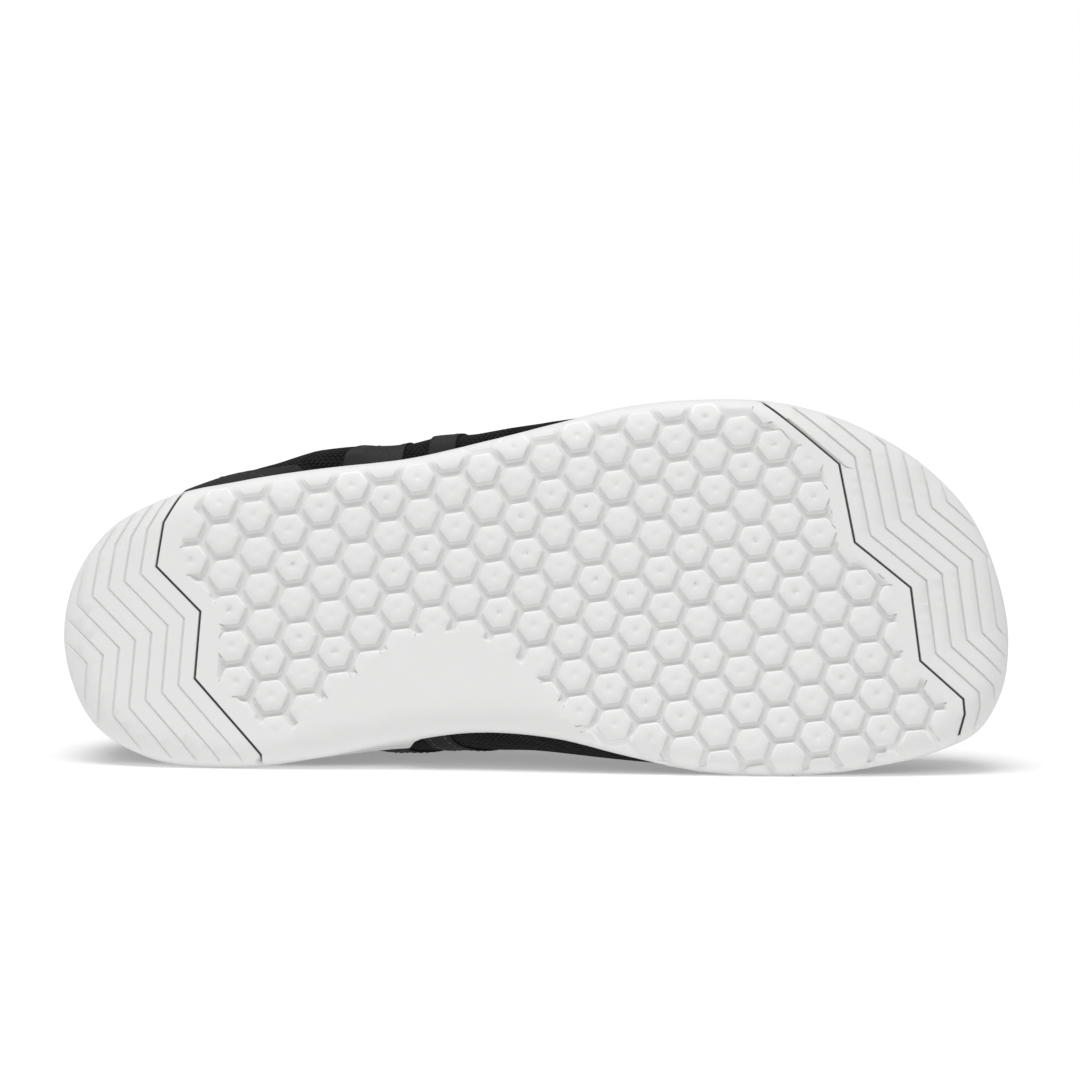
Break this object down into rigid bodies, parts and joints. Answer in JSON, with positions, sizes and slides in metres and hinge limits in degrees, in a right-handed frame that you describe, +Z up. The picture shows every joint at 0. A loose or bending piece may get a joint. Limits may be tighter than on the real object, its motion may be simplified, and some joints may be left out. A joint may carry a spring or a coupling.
{
  "type": "barefoot shoe",
  "caption": "Low slip-on barefoot shoe for the right foot, with a foot-shaped lugged sole, a dark knit upper and a ribbed collar, lying on its inner side.",
  "frame": {"origin": "on the floor, under the centre of the lying shoe's box", "axes": "+X runs from heel to toe, +Z is up from the floor, and the tread faces -Y while the collar faces +Y"},
  "size_m": [0.2808, 0.0916, 0.1084],
  "materials": {
    "white_rubber": "matte",
    "black_knit": "knitted",
    "black_rib": "ribbed knit",
    "black_film": "satin",
    "grey_footbed": "brushed"
  },
  "bodies": {
    "root": {"outsole": "white_rubber", "upper": "black_knit", "insole": "grey_footbed", "collar_cuff": "black_rib", "heel_counter": "black_film", "outer_rear_band": "black_film", "inner_rear_band": "black_film", "outer_front_band": "black_film", "inner_front_band": "black_film"}
  },
  "joints": []
}
